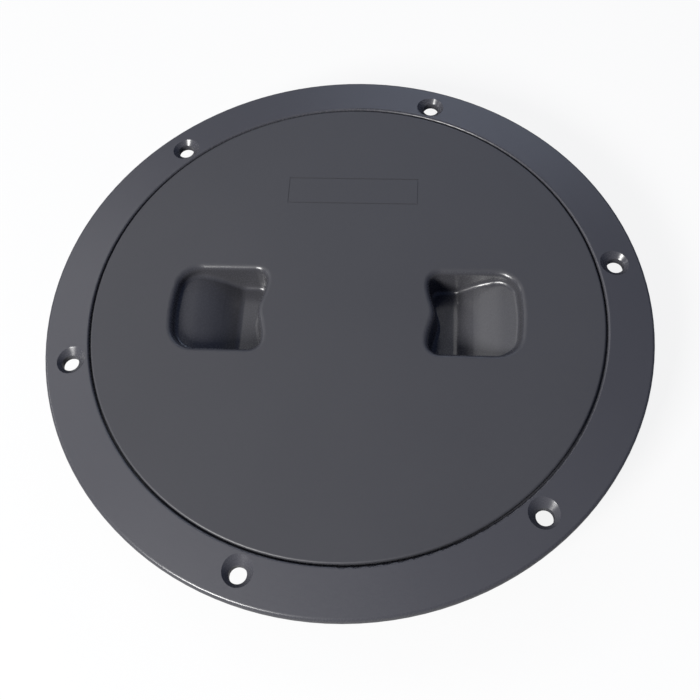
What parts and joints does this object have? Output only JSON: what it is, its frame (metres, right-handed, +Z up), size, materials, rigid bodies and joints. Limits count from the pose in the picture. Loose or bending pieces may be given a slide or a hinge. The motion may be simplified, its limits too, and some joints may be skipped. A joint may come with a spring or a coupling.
{
  "type": "deck inspection plate",
  "caption": "Round flush access plate: a screw-down flange with a threaded collar, and a lid with finger pockets that screws into it against a rubber seal.",
  "frame": {"origin": "on the plate's axis, in the plane of the deck under the flange", "axes": "+Z up out of the deck along the axis; X through both finger pockets of the closed lid; +Y to the lid's top edge, where the bare name place is"},
  "size_m": [0.2018, 0.2018, 0.0247],
  "materials": {
    "ring_plastic": "satin",
    "lid_plastic": "satin",
    "seal_rubber": "matte"
  },
  "bodies": {
    "ring": {"deck_ring": "ring_plastic"},
    "seal": {"o_ring": "seal_rubber"},
    "lid": {"lid": "lid_plastic"}
  },
  "joints": [
    {"name": "lid_rise", "type": "slide", "parent": "ring", "child": "seal", "axis": [0, 0, 1], "range_m": [0, 0.024]},
    {"name": "lid_turn", "type": "hinge", "parent": "seal", "child": "lid", "pos_m": [0, 0, 0], "axis": [0, 0, 1], "range_deg": [0, 1440]}
  ],
  "couplings": [
    {"joint": "lid_rise", "follows": "lid_turn", "m_per_rad": 0.00095493}
  ]
}
